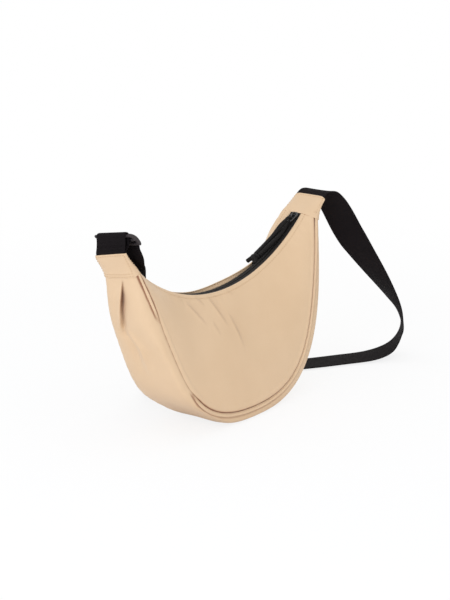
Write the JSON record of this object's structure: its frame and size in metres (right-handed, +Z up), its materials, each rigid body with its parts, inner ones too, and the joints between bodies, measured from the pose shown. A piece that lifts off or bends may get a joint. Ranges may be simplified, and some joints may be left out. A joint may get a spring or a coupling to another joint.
{
  "type": "crossbody bag",
  "caption": "Crescent-shaped soft crossbody bag with piped seams, a curved top zip with a knotted cord pull, fabric end tabs and an adjustable webbing strap.",
  "frame": {"origin": "middle of the flat base that the bag stands on", "axes": "+X to the bag's right end as seen from the front, -Y out of the front panel, +Z up"},
  "size_m": [0.4794, 0.2001, 0.234],
  "materials": {
    "shell_fabric": "smooth matt woven nylon, beige",
    "lining_fabric": "plain thin woven lining",
    "webbing": "ribbed black webbing",
    "zip_tape": "black herringbone tape",
    "zip_metal": "gloss black lacquer",
    "buckle_plastic": "satin moulded plastic"
  },
  "bodies": {
    "bag": {"front_panel": "shell_fabric", "back_panel": "shell_fabric", "gusset": "shell_fabric", "front_piping": "shell_fabric", "back_piping": "shell_fabric", "front_lining": "lining_fabric", "back_lining": "lining_fabric", "gusset_lining": "lining_fabric", "left_tab": "shell_fabric", "right_tab": "shell_fabric", "zip_tape_front": "zip_tape", "zip_tape_back": "zip_tape", "zip_coil_front": "zip_tape", "zip_coil_back": "zip_tape", "zip_stop_left": "zip_metal", "zip_stop_right": "zip_metal", "anchor_webbing": "webbing", "strap": "webbing"},
    "slider": {"zip_slider": "zip_metal"},
    "bail": {"pull_bail": "zip_metal"},
    "pull": {"pull_cord": "webbing", "pull_knot": "webbing"},
    "adjuster": {"strap_adjuster": "buckle_plastic", "strap_threaded_end": "webbing"}
  },
  "joints": [
    {"name": "zip_travel", "type": "hinge", "parent": "bag", "child": "slider", "pos_m": [0, 0, 0.359], "axis": [0, 1, 0], "range_deg": [0, 44]},
    {"name": "bail_flip", "type": "hinge", "parent": "slider", "child": "bail", "pos_m": [0.14307, 0, 0.18971], "axis": [0, 1, 0], "range_deg": [0, 95]},
    {"name": "pull_swing", "type": "hinge", "parent": "bail", "child": "pull", "pos_m": [0.13303, 0, 0.18519], "axis": [-0.4099, 0, 0.9121], "range_deg": [-14, 30]},
    {"name": "adjuster_swing", "type": "hinge", "parent": "bag", "child": "adjuster", "pos_m": [-0.16945, 0.00286, 0.22671], "axis": [0, -0.9848, 0.1736], "range_deg": [-6, 100], "deforming": ["strap"]}
  ]
}
